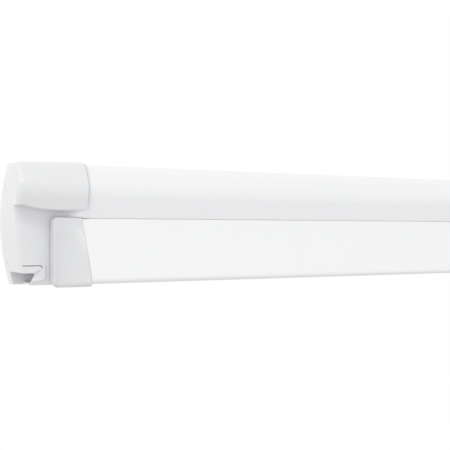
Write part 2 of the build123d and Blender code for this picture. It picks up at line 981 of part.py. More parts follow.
def arm_cable():
    """Straight stretch of the tension cable, from the spring to the elbow casting."""
    start = arm_start + arm_plug_length + arm_spring_length
    end = arm_reach - arm_start - arm_plug_length
    plane = Plane(origin=(start, 0, 0), x_dir=(0, 1, 0), z_dir=(1, 0, 0))
    cable = extrude(plane * Circle(arm_cable_radius), amount=end - start)
    return cable + extrude(plane * Circle(arm_spring_radius), amount=arm_cable_radius)


# Lead rail

def toe_depth(z):
    """Depth of the rail's sloping front at a height, before its corners are rounded."""
    share = (rail_knee_z - z) / (rail_knee_z - rail_base_z)
    return rail_knee_depth + share * (rail_toe - rail_knee_depth)


def rail_outline():
    """Outer outline of the lead rail."""
    points = (
        (rail_back, rail_top_z),
        (rail_top_front, rail_top_z),
        (rail_knee_depth, rail_knee_z),
        (rail_toe, rail_base_z),
        (rail_back, rail_base_z),
    )
    return outline(points, rail_radii)


def lead_rail():
    """Extruded rail: canopy groove, hollow chamber and a channel for the legs, open below."""
    inner_back = rail_back + rail_web
    channel = (
        (inner_back, rail_base_z - overrun),
        (inner_back, channel_top_z),
        (toe_depth(channel_top_z) - rail_skin, channel_top_z),
        (toe_depth(rail_base_z + rail_web) - rail_skin, rail_base_z + rail_web),
        (toe_depth(rail_base_z + rail_web) - rail_skin - toe_lip, rail_base_z + rail_web),
        (toe_depth(rail_base_z + rail_web) - rail_skin - toe_lip, rail_base_z - overrun),
    )
    chamber_low = channel_top_z + rail_web
    chamber = (
        (inner_back, chamber_low),
        (inner_back, chamber_top_z),
        (toe_depth(chamber_top_z) - 1.5 * rail_skin, chamber_top_z),
        (toe_depth(chamber_low) - rail_skin, chamber_low),
    )
    section = rail_outline()
    section -= make_face(Polyline(*channel, close=True).edges())
    section -= make_face(Polyline(*chamber, close=True).edges())
    section -= Pos(keder_depth, keder_z) * Circle(keder_groove)
    section -= rectangle(
        keder_depth - keder_slot / 2, keder_depth + keder_slot / 2, keder_z, rail_top_z + overrun
    )
    rail = bar(section, -rail_x, rail_x)
    return rail


def canopy_keder():
    """Beaded hem of the canopy in the rail's groove."""
    half = canopy_width / 2
    return along_x(keder_groove - soft_gap, keder_depth, keder_z, -half, half)


def rail_cap_sections(inset):
    """Outlines of a rail cap at the rail and near its outer end."""
    top = rail_top_z + rail_cap_grow - inset
    low = rail_base_z - rail_cap_drop + inset
    back = rail_back + inset
    inner = (
        (back, top),
        (rail_top_front + rail_cap_grow - inset, top),
        (rail_knee_depth + rail_cap_grow - inset, rail_knee_z),
        (rail_toe + rail_cap_grow - inset, low),
        (back, low),
    )
    end = rail_cap_end_front - inset
    knee = end - rail_cap_end_knee
    outer = (
        (back, top),
        (knee - rail_cap_grow, top),
        (end, rail_knee_z),
        (end + rail_cap_end_knee, low),
        (back, low),
    )
    return inner, outer


def rail_cap_loft(inset):
    """Solid of a rail cap, drawn in by an inset, with its outer edge rounded in two steps."""
    rounding = rail_cap_round * rail_cap_round_share
    faces = [section_plane(-rail_x) * outline(rail_cap_sections(inset)[0], rail_radii)]
    for back_step, draw in ((rail_cap_round, 0), (rounding, rounding), (0, rail_cap_round)):
        points = rail_cap_sections(inset + draw)[1]
        faces.append(section_plane(-rail_cap_x + inset + back_step) * outline(points, rail_radii))
    return loft(faces, ruled=True)


def rail_cap():
    """Hollow cap on the rail's left end, its front swept back to an upright edge."""
    return rail_cap_loft(0) - rail_cap_loft(rail_cap_wall)


# Support legs

def on_side(side, shape):
    """Turns a shape drawn for the left end to its own end, in its own lane."""
    shift = Pos(0, -leg_lane_depths[side], 0)
    placed = shift * shape
    return placed if side == "left" else mirror(placed, about=Plane.YZ)


def leg_bar(x_low, x_high, size, corner):
    """Square bar along a leg, about the leg's own line."""
    plane = Plane(origin=(x_low, 0, leg_z), x_dir=(0, 1, 0), z_dir=(1, 0, 0))
    return extrude(plane * RectangleRounded(size, size, corner), amount=x_high - x_low)


def across(radius, x, z, width):
    """Round bar across a leg's line."""
    return rod(radius, (x, width / 2, z), (x, -width / 2, z))


def leg_tube():
    """Outer tube of a leg, with the eye of its pivot."""
    x_low = -leg_pivot_x + leg_start
    x_high = x_low + leg_length
    tube = leg_bar(x_low, x_high, leg_size, leg_corner)
    tube -= leg_bar(x_low + leg_start, x_high, leg_size - 2 * leg_wall, leg_corner / 2)
    neck = Pos(-leg_pivot_x + leg_start / 2, 0, leg_z) * Box(leg_start, leg_eye_width, leg_eye)
    eye = across(leg_eye, -leg_pivot_x, leg_z, leg_eye_width)
    return tube + neck + eye - across(leg_pin_radius + running_fit, -leg_pivot_x, leg_z, leg_size)


def leg_end_x():
    """Free end of the stowed outer tube."""
    return -leg_pivot_x + leg_start + leg_length


def leg_slide():
    """Inner tube of a leg, with the eye that carries the foot."""
    size = leg_size - 2 * leg_wall - 2 * leg_slide_gap
    x_low = -leg_pivot_x + leg_start + leg_slide_inset
    x_high = leg_end_x() + leg_slide_out
    tube = leg_bar(x_low, x_high, size, leg_corner / 2)
    tube -= leg_bar(x_low, x_high - leg_wall * 4, size - 2 * leg_wall, leg_corner / 4)
    pin_x = x_high + foot_pin_out
    neck = Pos(x_high + foot_pin_out / 2, 0, leg_z) * Box(foot_pin_out, foot_eye_width, foot_eye)
    eye = across(foot_eye, pin_x, leg_z, foot_eye_width)
    return tube + neck + eye - across(foot_pin_radius + running_fit, pin_x, leg_z, leg_size)


def leg_foot():
    """Foot plate with two ears and its pin, folded in line with the leg."""
    pin_x = leg_end_x() + leg_slide_out + foot_pin_out
    ear_in = foot_eye_width / 2 + fork_gap
    plate_x = pin_x + foot_eye + fork_gap
    foot = Pos((plate_x + pin_x + foot_length) / 2, 0, leg_z) * Box(
        pin_x + foot_length - plate_x, foot_width, foot_thickness
    )
    for side in (-1, 1):
        y = side * (ear_in + foot_ear / 2)
        foot += Pos((plate_x + pin_x) / 2, y, leg_z) * Box(plate_x - pin_x, foot_ear, foot_thickness)
        foot += Pos(0, y, 0) * across(foot_eye - fork_gap, pin_x, leg_z, foot_ear)
    return foot + across(foot_pin_radius, pin_x, leg_z, 2 * (ear_in + foot_ear))


def lever_pin():
    """Place of the clamp lever's pivot, as x and z."""
    return leg_end_x() - lever_inset, leg_z - leg_size / 2 - lever_gap - lever_barrel


def leg_lever():
    """Clamp lever that lies flat under the end of the outer tube."""
    x, z = lever_pin()
    plate = Pos(x - lever_length / 2, 0, z) * Box(lever_length, lever_width, lever_thickness)
    return plate + across(lever_barrel, x, z, lever_width)


def leg_bracket():
    """Cheeks and top of the leg's hinge, under the channel's roof."""
    half = leg_eye_width / 2 + leg_cheek_gap
    top = Pos(-leg_pivot_x, 0, channel_top_z - leg_bracket_top / 2) * Box(
        2 * leg_cheek_half, 2 * (half + leg_cheek), leg_bracket_top
    )
    height = channel_top_z - leg_cheek_low_z
    for side in (-1, 1):
        cheek = Pos(-leg_pivot_x, side * (half + leg_cheek / 2), channel_top_z - height / 2)
        top += cheek * Box(2 * leg_cheek_half, leg_cheek, height)
    return top - across(leg_pin_radius, -leg_pivot_x, leg_z, leg_size * 2)


def leg_pin():
    """Pivot pin of a leg."""
    return across(leg_pin_radius, -leg_pivot_x, leg_z, leg_eye_width + 2 * (leg_cheek_gap + leg_cheek))


def leg_clip():
    """Spring clip that holds the stowed leg."""
    half = leg_size / 2 + clip_gap
    roof_low = leg_z + leg_size / 2 + clip_gap
    clip = Pos(-clip_x, 0, (roof_low + channel_top_z) / 2) * Box(
        clip_length, 2 * (half + clip_wall), channel_top_z - roof_low
    )
    for side in (-1, 1):
        prong = Pos(-clip_x, side * (half + clip_wall / 2), (clip_low_z + channel_top_z) / 2)
        clip += prong * Box(clip_length, clip_wall, channel_top_z - clip_low_z)
    return clip


def save_root():
    """Everything that stays on the wall."""
    save("cassette_profile", cassette_profile())
    save("wall_brackets", group([wall_bracket(x) for x in bracket_places()]))
    save("bracket_screws", group([bracket_screw(x) for x in bracket_places()]))
    save_sides("end_bracket", end_bracket())
    save("end_bracket_screws", end_bracket_screws())
    save("left_end_cap", winch_end_cap())
    save("right_end_cap", mirror(end_cap(), about=Plane.YZ))
    save("cap_gaskets", group([cap_gasket(), mirror(cap_gasket(), about=Plane.YZ)]))
    save("end_cap_screws", end_cap_screws())
    save("gearbox_housing", gearbox_housing())
    save_sides("shoulder_bracket", shoulder_bracket())
    save("shoulder_bolts", shoulder_bolts())
    shoulder_pin = arm_place(pivot_pin(0, 0, shoulder_tongue))
    save("shoulder_pins", group([shoulder_pin, mirror(shoulder_pin, about=Plane.YZ)]))
    save("roller_bushes", group([roller_bush(), mirror(roller_bush(), about=Plane.YZ)]))


def save_roller():
    """The roller with its canopy, and the winch that turns it."""
    save("roller_tube", roller_tube())
    save("roller_drive_plug", roller_plug(winch_x + gearbox_end_gap))
    save("roller_idler_plug", mirror(roller_plug(plate_out_x), about=Plane.YZ))
    save("canopy_roll", canopy_roll())
    save("canopy_front", canopy_front())
    save("canopy_keder", canopy_keder())
    save("worm_wheel", worm_wheel())
    save("worm_shaft", worm_shaft())
    save("winch_socket", winch_socket())


def save_arms():
    """Both folding arms."""
    elbow = (arm_reach, -arm_offset)
    upper = (0, upper_width, upper_height)
    fore = (-2 * arm_offset, fore_width, fore_height)
    pieces = {
        "upper_arm": arm_tube(*upper),
        "shoulder_knuckle": tongue_end(True, 0, 0, shoulder_eye, shoulder_tongue, *upper),
        "elbow_knuckle": tongue_end(False, *elbow, elbow_eye, elbow_tongue, *upper),
        "arm_spring": arm_spring(),
        "arm_cable": arm_cable(),
        "forearm": arm_tube(*fore),
        "elbow_fork": elbow_fork(),
        "wrist_knuckle": tongue_end(True, 0, -2 * arm_offset, wrist_eye, wrist_tongue, *fore),
        "elbow_pin": pivot_pin(*elbow, elbow_tongue),
    }
    for name, piece in pieces.items():
        save_sides(name, arm_place(piece))


def save_rail():
    """The lead rail and what is fixed to it."""
    wrist_pin = arm_place(pivot_pin(0, -2 * arm_offset, wrist_tongue))
    save("lead_rail", lead_rail())
    save_sides("rail_cap", rail_cap())
    save_sides("wrist_bracket", wrist_bracket())
    save("wrist_pins", group([wrist_pin, mirror(wrist_pin, about=Plane.YZ)]))
    sides = list(leg_lane_depths)
    save("leg_brackets", group([on_side(side, leg_bracket()) for side in sides]))
    save("leg_pins", group([on_side(side, leg_pin()) for side in sides]))
    save("leg_clips", group([on_side(side, leg_clip()) for side in sides]))


def save_legs():
    """Both support legs."""
    for side in leg_lane_depths:
        save(f"{side}_leg_tube", on_side(side, leg_tube()))
        save(f"{side}_leg_slide", on_side(side, leg_slide()))
        save(f"{side}_leg_foot", on_side(side, leg_foot()))
        save(f"{side}_leg_lever", on_side(side, leg_lever()))


save_root()
save_roller()
save_arms()
save_rail()
save_legs()
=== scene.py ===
import json
import math

import bmesh
import bpy
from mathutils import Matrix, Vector, kdtree


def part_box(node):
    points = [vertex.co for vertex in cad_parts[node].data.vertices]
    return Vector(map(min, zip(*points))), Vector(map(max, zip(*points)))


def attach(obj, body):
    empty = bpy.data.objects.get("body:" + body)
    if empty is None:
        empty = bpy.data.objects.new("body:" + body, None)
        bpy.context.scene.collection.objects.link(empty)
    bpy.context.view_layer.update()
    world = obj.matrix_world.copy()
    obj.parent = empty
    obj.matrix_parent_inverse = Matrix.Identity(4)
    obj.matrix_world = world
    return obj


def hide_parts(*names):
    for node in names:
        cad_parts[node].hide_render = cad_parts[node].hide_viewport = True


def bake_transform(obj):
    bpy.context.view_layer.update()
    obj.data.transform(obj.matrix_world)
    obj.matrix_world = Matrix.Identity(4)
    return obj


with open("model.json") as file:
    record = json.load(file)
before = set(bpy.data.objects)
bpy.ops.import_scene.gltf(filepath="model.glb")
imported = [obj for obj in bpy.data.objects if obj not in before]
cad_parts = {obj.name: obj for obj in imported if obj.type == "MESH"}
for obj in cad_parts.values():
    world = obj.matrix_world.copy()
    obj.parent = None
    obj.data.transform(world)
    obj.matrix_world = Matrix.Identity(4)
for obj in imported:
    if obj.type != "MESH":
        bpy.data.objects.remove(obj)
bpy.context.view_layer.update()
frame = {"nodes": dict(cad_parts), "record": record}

# Lengths are in millimetres, and MM turns them into metres. The canopy's half width, the studio and the
# camera are in metres, and so is SAME_PLACE: points nearer than this are one
MM = 0.001
SAME_PLACE = 1e-6

# Finishes

DUST_AMOUNT = 0.25
SKIN_DEPTH = 0.2 * MM
MARK_DEPTH = 0.1 * MM


def node(tree, kind, inputs=None, **settings):
    """One node with its settings and input values; a socket given as a value is linked."""
    made = tree.nodes.new(kind)
    for name, value in settings.items():
        setattr(made, name, value)
    for name, value in (inputs or {}).items():
        if isinstance(value, bpy.types.NodeSocket):
            tree.links.new(value, made.inputs[name])
        else:
            made.inputs[name].default_value = value
    return made


def math_node(tree, operation, first, second=0.0, third=0.0):
    """Result of one sum on sockets or numbers."""
    made = node(tree, "ShaderNodeMath", {0: first, 1: second, 2: third}, operation=operation)
    return made.outputs[0]


def noise(tree, place, scale, detail):
    """Cloudy values over a surface."""
    made = node(tree, "ShaderNodeTexNoise", {"Vector": place, "Scale": scale, "Detail": detail})
    return made.outputs["Fac"]


def effect(name, inputs, outputs):
    """Empty node group with named inputs and outputs."""
    group = bpy.data.node_groups.new(name, "ShaderNodeTree")
    for label, value in inputs.items():
        kind = "NodeSocketVector" if value is None else "NodeSocketFloat"
        socket = group.interface.new_socket(name=label, in_out="INPUT", socket_type=kind)
        if value is not None:
            socket.default_value = value
    for label in outputs:
        group.interface.new_socket(name=label, in_out="OUTPUT", socket_type="NodeSocketFloat")
    return group, group.nodes.new("NodeGroupInput"), group.nodes.new("NodeGroupOutput")


def coat_texture():
    """Orange-peel skin of powder coat and the fine grain of a mould."""
    group, given, out = effect("coat_texture", {"Vector": None, "Scale": 1.0}, ["Height", "Patch"])
    for label, fineness, detail in (("Height", 900.0, 2.0), ("Patch", 9.0, 3.0)):
        scale = math_node(group, "MULTIPLY", given.outputs["Scale"], fineness)
        group.links.new(noise(group, given.outputs["Vector"], scale, detail), out.inputs[label])
    return group


def dust_film():
    """Thin uneven dust, thicker on what faces up."""
    group, given, out = effect("dust_film", {"Vector": None, "Amount": 0.1}, ["Mask"])
    blotch = noise(group, given.outputs["Vector"], 14.0, 6.0)
    geometry = node(group, "ShaderNodeNewGeometry")
    split = node(group, "ShaderNodeSeparateXYZ", {0: geometry.outputs["Normal"]})
    upward = node(
        group,
        "ShaderNodeMapRange",
        {"Value": split.outputs["Z"], "From Min": 0.2, "From Max": 1.0, "To Min": 0.25, "To Max": 1.0},
    )
    spread = math_node(group, "MULTIPLY", blotch, upward.outputs["Result"])
    group.links.new(math_node(group, "MULTIPLY", spread, given.outputs["Amount"]), out.inputs["Mask"])
    return group


def drawn_lines():
    """Fine lines along X, as a die leaves on an extrusion."""
    group, given, out = effect("drawn_lines", {"Vector": None, "Scale": 1.0}, ["Height"])
    stretched = node(
        group, "ShaderNodeMapping", {"Vector": given.outputs["Vector"], "Scale": (3.0, 1400.0, 1400.0)}
    )
    lines = noise(group, stretched.outputs[0], given.outputs["Scale"], 1.0)
    group.links.new(lines, out.inputs["Height"])
    return group


def speckle():
    """Crystals of zinc plating or the skin of a casting."""
    group, given, out = effect("speckle", {"Vector": None, "Scale": 500.0}, ["Height", "Shade"])
    cells = node(
        group, "ShaderNodeTexVoronoi", {"Vector": given.outputs["Vector"], "Scale": given.outputs["Scale"]}
    )
    group.links.new(cells.outputs["Distance"], out.inputs["Height"])
    group.links.new(noise(group, given.outputs["Vector"], 60.0, 4.0), out.inputs["Shade"])
    return group


def plain_weave():
    """Over-and-under threads of woven cloth, from a vector in metres along and across it."""
    group, given, out = effect("plain_weave", {"Vector": None, "Thread": 0.0009}, ["Height", "Shade"])
    split = node(group, "ShaderNodeSeparateXYZ", {0: given.outputs["Vector"]})
    turn = math_node(group, "DIVIDE", math.pi, given.outputs["Thread"])
    along = math_node(group, "SINE", math_node(group, "MULTIPLY", split.outputs["X"], turn))
    across = math_node(group, "SINE", math_node(group, "MULTIPLY", split.outputs["Y"], turn))
    crossing = math_node(group, "MULTIPLY", along, across)
    group.links.new(math_node(group, "MULTIPLY_ADD", crossing, 0.5, 0.5), out.inputs["Height"])
    group.links.new(noise(group, given.outputs["Vector"], 160.0, 3.0), out.inputs["Shade"])
    return group


COAT = coat_texture()
DUST = dust_film()
LINES = drawn_lines()
SPECKLE = speckle()
WEAVE = plain_weave()


def shaded(name, color, rough, second, shader_values=None):
    """Material with a Principled shader, two nearby colours and an Object vector to build on."""
    material = bpy.data.materials.new(name)
    material.use_nodes = True
    tree = material.node_tree
    shader = tree.nodes["Principled BSDF"]
    for label, value in (shader_values or {}).items():
        shader.inputs[label].default_value = value
    place = node(tree, "ShaderNodeTexCoord").outputs["Object"]
    mix = node(tree, "ShaderNodeMix", data_type="RGBA")
    mix.inputs["A"].default_value = (*color, 1)
    mix.inputs["B"].default_value = (*second, 1)
    tree.links.new(mix.outputs["Result"], shader.inputs["Base Color"])
    spread = node(tree, "ShaderNodeMapRange", {"To Min": rough[0], "To Max": rough[1]})
    tree.links.new(spread.outputs["Result"], shader.inputs["Roughness"])
    bump = node(tree, "ShaderNodeBump")
    tree.links.new(bump.outputs["Normal"], shader.inputs["Normal"])
    return material, tree, place, mix.inputs["Factor"], spread.inputs["Value"], bump


def placed_group(tree, group, **inputs):
    """A shared effect in a material, with its own values."""
    return node(tree, "ShaderNodeGroup", inputs, node_tree=group)


def roughen(tree, bump, height, strength, depth):
    """Relief in a material from a height, with its strength and its depth in metres."""
    tree.links.new(height, bump.inputs["Height"])
    bump.inputs["Strength"].default_value = strength
    bump.inputs["Distance"].default_value = depth


def coated(name, color, dusty, rough, peel, scale=1.0):
    """Painted or moulded surface: skin, patches of sheen and a film of dust."""
    material, tree, place, factor, gloss, bump = shaded(name, color, rough, dusty)
    skin = placed_group(tree, COAT, Vector=place, Scale=scale)
    film = placed_group(tree, DUST, Vector=place, Amount=DUST_AMOUNT)
    tree.links.new(film.outputs["Mask"], factor)
    tree.links.new(skin.outputs["Patch"], gloss)
    roughen(tree, bump, skin.outputs["Height"], peel, SKIN_DEPTH)
    return material


def metal(name, color, darker, rough, group, scale, strength):
    """Bare or plated metal with the marks of how it was made."""
    material, tree, place, factor, gloss, bump = shaded(name, color, rough, darker, {"Metallic": 1.0})
    marks = placed_group(tree, group, Vector=place, Scale=scale)
    haze = placed_group(tree, SPECKLE, Vector=place, Scale=300.0)
    tree.links.new(haze.outputs["Shade"], factor)
    tree.links.new(haze.outputs["Shade"], gloss)
    roughen(tree, bump, marks.outputs["Height"], strength, MARK_DEPTH)
    return material


def cloth(name, use_uv):
    """Coated woven cloth, matt, with slightly uneven threads."""
    values = {"Specular IOR Level": 0.3, "Sheen Weight": 0.15, "Sheen Roughness": 0.5}
    material, tree, place, factor, gloss, bump = shaded(name, CLOTH_GREY, (0.72, 0.88), CLOTH_DARK, values)
    if use_uv:
        place = node(tree, "ShaderNodeUVMap", uv_map="cloth").outputs["UV"]
    threads = placed_group(tree, WEAVE, Vector=place)
    tree.links.new(threads.outputs["Shade"], factor)
    tree.links.new(threads.outputs["Shade"], gloss)
    roughen(tree, bump, threads.outputs["Height"], 0.35, SKIN_DEPTH)
    return material


WHITE, WHITE_DUSTY = (0.88, 0.885, 0.895), (0.80, 0.80, 0.79)
MOULDING, MOULDING_DUSTY = (0.80, 0.805, 0.815), (0.75, 0.75, 0.74)
GREY_DUST = (0.72, 0.72, 0.71)
CLOTH_GREY, CLOTH_DARK = (0.34, 0.37, 0.41), (0.27, 0.295, 0.33)

powder_coat = coated("powder_coat", WHITE, WHITE_DUSTY, (0.30, 0.38), 0.05)
moulded_white = coated("moulded_white", MOULDING, MOULDING_DUSTY, (0.24, 0.34), 0.06, 0.7)
# Copy of the white moulding, painted darker so that the rail caps' faces carry painted shade; the rail caps
# are the same white plastic as the end caps
shaded_white = coated("shaded_white", (0.715, 0.72, 0.73), (0.68, 0.68, 0.67), (0.24, 0.34), 0.08, 0.7)
cast_coat = coated("cast_coat", (0.82, 0.825, 0.83), GREY_DUST, (0.38, 0.5), 0.2, 0.5)
pale_rubber = coated("pale_rubber", (0.80, 0.805, 0.82), GREY_DUST, (0.6, 0.75), 0.12, 0.8)
black_nylon = coated("black_nylon", (0.028, 0.028, 0.031), (0.09, 0.088, 0.082), (0.42, 0.6), 0.25, 0.6)
painted_screw = coated("painted_screw", MOULDING, WHITE_DUSTY, (0.3, 0.42), 0.05, 0.8)
mill_aluminium = metal(
    "mill_aluminium", (0.76, 0.765, 0.78), (0.68, 0.685, 0.69), (0.28, 0.42), LINES, 1.0, 0.18
)
zinc_plate = metal("zinc_plate", (0.72, 0.73, 0.76), (0.58, 0.59, 0.62), (0.25, 0.42), SPECKLE, 700.0, 0.15)
machined_brass = metal("machined_brass", (0.76, 0.56, 0.25), (0.62, 0.43, 0.17), (0.2, 0.34), LINES, 0.6, 0.2)
# Nearly black metal: painted shade for the worm shaft inside the crank's pocket, in place of its own finish
shadow_dark_steel = metal("shadow_dark_steel", (0.10, 0.10, 0.11), (0.06, 0.06, 0.065), (0.35, 0.5), SPECKLE, 500.0, 0.1)
awning_cloth = cloth("awning_cloth", use_uv=False)
rolled_cloth = cloth("rolled_cloth", use_uv=True)

FINISH = {
    "painted_steel": painted_screw,
    "white_aluminium": powder_coat,
    "white_plastic": moulded_white,
    "grey_rubber": pale_rubber,
    "zinc_steel": zinc_plate,
    "cast_alloy": cast_coat,
    "bare_aluminium": mill_aluminium,
    "brass": machined_brass,
    "nylon": black_nylon,
    "canopy_cloth": awning_cloth,
}

for subpart in frame["record"]["subparts"]:
    shown = frame["nodes"][subpart["node"]]
    shown.data.materials.clear()
    shown.data.materials.append(FINISH[subpart["material_slot"]])
# The worm shaft is painted nearly black so that it reads as the shade inside the crank's pocket
frame["nodes"]["worm_shaft"].data.materials[0] = shadow_dark_steel

# Modelling

# Sines and cosines once round, for round sections
ROUND = [(math.cos(math.radians(15 * k)), math.sin(math.radians(15 * k))) for k in range(24)]
ARC_STEPS = 8
BORE_SIDES = 40


def only(piece):
    """Makes a piece the active object and the only chosen one."""
    bpy.ops.object.select_all(action="DESELECT")
    piece.select_set(True)
    bpy.context.view_layer.objects.active = piece


def begin(name, primitive, **size):
    """New object from a primitive, in edit mode with all of it chosen."""
    bpy.ops.object.select_all(action="DESELECT")
    primitive(**size)
    made = bpy.context.object
    made.name = name
    bpy.ops.object.mode_set(mode="EDIT")
    return made


def choose(piece, test):
    """Chooses the vertices of a piece whose place passes the test."""
    bpy.ops.mesh.select_all(action="DESELECT")
    bpy.context.tool_settings.mesh_select_mode = (True, False, False)
    mesh = bmesh.from_edit_mesh(piece.data)
    for vertex in mesh.verts:
        if test(piece.matrix_world @ vertex.co):
            vertex.select_set(True)
    mesh.select_flush_mode()
    bmesh.update_edit_mesh(piece.data)


def done(piece, smooth=40.0):
    """Leaves edit mode with faces outwards, puts the place into the mesh and shades soft edges."""
    bpy.ops.mesh.select_all(action="SELECT")
    bpy.ops.mesh.normals_make_consistent(inside=False)
    bpy.ops.object.mode_set(mode="OBJECT")
    bpy.ops.object.transform_apply(location=True, rotation=True, scale=True)
    bpy.ops.object.shade_smooth_by_angle(angle=math.radians(smooth))
    return piece


def modify(piece, kind, **settings):
    """Adds a modifier with its settings and applies it."""
    only(piece)
    made = piece.modifiers.new(kind.lower(), kind)
    for name, value in settings.items():
        setattr(made, name, value)
    bpy.ops.object.modifier_apply(modifier=made.name)
    return piece


def bevelled(piece, width, segments, angle):
    """Rounds a piece's edges that are sharper than an angle in degrees."""
    sharp = {"limit_method": "ANGLE", "angle_limit": math.radians(angle)}
    return modify(piece, "BEVEL", width=width * MM, segments=segments, **sharp)


def soften(piece):
    """Shades a finished piece with its large faces leading."""
    only(piece)
    bpy.ops.object.shade_smooth_by_angle(angle=math.radians(35.0))
    return modify(piece, "WEIGHTED_NORMAL", keep_sharp=True)


def cut(piece, cutter, operation="DIFFERENCE"):
    """Takes a cutter out of a piece, or joins it on, and removes the cutter."""
    modify(piece, "BOOLEAN", operation=operation, object=cutter, solver="EXACT")
    bpy.data.objects.remove(cutter)
    return piece


def finder(points):
    """Function that tells which of the points is nearest to a place."""
    tree = kdtree.KDTree(len(points))
    for i, point in enumerate(points):
        tree.insert(point, i)
    tree.balance()
    return lambda place: tree.find(place)[1]


def among(points):
    """Test for the vertices that lie at one of the points."""
    which = finder(points)
    return lambda place: (place - points[which(place)]).length < SAME_PLACE


def drawn(name, loops, closed=True):
    """Skin through loops of points: the first is traced, and each next one extruded from the last."""
    bpy.context.tool_settings.mesh_select_mode = (True, False, False)
    piece = begin(name, bpy.ops.mesh.primitive_plane_add, size=MM, location=loops[0][0])
    origin = piece.location.copy()
    bpy.ops.mesh.merge(type="CENTER")
    for previous, point in zip(loops[0], loops[0][1:]):
        bpy.ops.mesh.extrude_vertices_move(TRANSFORM_OT_translate={"value": point - previous})
    if closed:
        ends = (loops[0][0], loops[0][-1])
        choose(piece, lambda v: min((v - end).length for end in ends) < SAME_PLACE)
        bpy.ops.mesh.edge_face_add()
    bpy.ops.mesh.select_all(action="SELECT")
    for previous, loop in zip(loops, loops[1:]):
        bpy.ops.mesh.extrude_edges_move()
        mesh = bmesh.from_edit_mesh(piece.data)
        which = finder(previous)
        for vertex in [v for v in mesh.verts if v.select]:
            vertex.co = loop[which(vertex.co + origin)] - origin
        bmesh.update_edit_mesh(piece.data)
    return piece


def fill_end(piece, points):
    """Closes the open loop that runs through the points."""
    choose(piece, among(points))
    bpy.ops.mesh.edge_face_add()


def solid(name, loops):
    """Closed piece through loops of points."""
    piece = drawn(name, loops)
    fill_end(piece, loops[0])
    fill_end(piece, loops[-1])
    return done(piece)


def rounded(corners, radii, steps, spans):
    """Points of a section as (depth, height): an arc at each corner, and points along each side."""
    bends = []
    for i, (place, radius, count) in enumerate(zip(corners, radii, steps)):
        corner = Vector(place)
        before = Vector(corners[i - 1]) - corner
        after = Vector(corners[(i + 1) % len(corners)]) - corner
        angle = before.angle(after)
        longest = 0.49 * min(before.length, after.length)
        reach = min(radius / math.tan(angle / 2), longest)
        true_radius = reach * math.tan(angle / 2)
        middle = (before.normalized() + after.normalized()).normalized()
        centre = corner + middle * (true_radius / math.sin(angle / 2))
        first = corner + before.normalized() * reach - centre
        last = corner + after.normalized() * reach - centre
        turn = math.pi - angle
        bend = []
        for k in range(count + 1):
            share = k / count
            swing = first * math.sin((1 - share) * turn) + last * math.sin(share * turn)
            bend.append(centre + swing / math.sin(turn))
        bends.append(bend)
    points = []
    for i, (bend, count) in enumerate(zip(bends, spans)):
        points += bend
        following = bends[(i + 1) % len(bends)][0]
        points += [bend[-1].lerp(following, k / (count + 1)) for k in range(1, count + 1)]
    return points


def spot(out, depth, z):
    """Place at the left end: out from the awning's middle, forward from the wall, and up."""
    return Vector((-out, -depth, z)) * MM


def at_x(points, x):
    """Points of a (depth, height) section at the left end. How far out may vary with the point."""
    return [spot(x(p) if callable(x) else x, p[0], p[1]) for p in points]


def prism(name, outline, near, far):
    """Solid between two depths, from an outline of (distance out, height)."""
    return solid(name, [[spot(p[0], depth, p[1]) for p in outline] for depth in (near, far)])


def arc(centre, radius, first, last):
    """Points of an arc from one angle to another, in degrees, as (distance out, height)."""
    turns = [math.radians(first + (last - first) * k / ARC_STEPS) for k in range(ARC_STEPS + 1)]
    return [(centre[0] - radius * math.cos(a), centre[1] + radius * math.sin(a)) for a in turns]


def dress(piece, finish, body, slot, *stands_for):
    """Finish, body and the CAD nodes that a piece stands for. The slot argument is not used."""
    piece.data.materials.clear()
    piece.data.materials.append(finish)
    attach(piece, body)
    if stands_for:
        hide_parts(*stands_for)
    return piece


def mirrored(piece, name):
    """Copy for the right-hand end."""
    only(piece)
    bpy.ops.object.duplicate(linked=False)
    copy = bpy.context.object
    copy.name = name
    bpy.ops.object.mode_set(mode="EDIT")
    bpy.ops.mesh.select_all(action="SELECT")
    bpy.ops.transform.mirror(constraint_axis=(True, False, False), center_override=(0, 0, 0))
    bpy.ops.mesh.flip_normals()
    bpy.ops.object.mode_set(mode="OBJECT")
    return copy


# End caps

# Along the awning: the open rim, its width, and the side face with the rounding of its edge
HOOD_IN_X = 1226.0
RIM_WIDTH = 4.5
CAP_SIDE_X = 1298.4
SIDE_ROUND = 7.0

# Section, by depth and height. A name with _DROP, _RISE or _FALL is the change on the way to the side
CAP_BACK = 1.0
CAP_BASE, BASE_DROP = -61.9, 2.6
BACK_TOP, BACK_RISE = 59.2, 8.8
CAP_TOP, TOP_FALL = 65.0, 2.0
CROWN_DEPTH, CROWN_RISE = 30.0, 2.8
BROW_DEPTH = 77.1
HOOD_FRONT, HOOD_FRONT_Z = 91.9, 36.0
HOOD_CHIN = 86.0
HOOD_LIP, LIP_RISE = 13.4, 5.6
RECESS, RECESS_STEP = 71.0, 0.4
CAP_WALL = 2.4
CAP_STEPS = (2, 5, 6, 9, 7, 7, 3, 3)
CAP_SPANS = (14, 3, 4, 3, 3, 3, 10, 7)

# Rounded rim, and how the top follows the front where the side's edge is rounded
RIM_STEPS = 4
RIM_ROUND, RIM_LIP = 1.6, 4.0
TOP_SHARE, BROW_SHARE, RECESS_SHARE = 0.36, 0.6, 0.5

# Side face: its bow above and below BOW_Z, its taper towards the front below TAPER_Z, and the place
# that its rings close in on
SIDE_BOW, BOW_Z = 0.0020, 5.0
SIDE_TAPER, TAPER_Z = 2.8, 20.0
SIDE_CENTRE = (36.0, 28.0)
INNER_RINGS = (6, 4, (0.8, 0.5, 0.2))
OUTER_RINGS = (12, 8, (0.93, 0.82, 0.68, 0.54, 0.4, 0.26, 0.12))


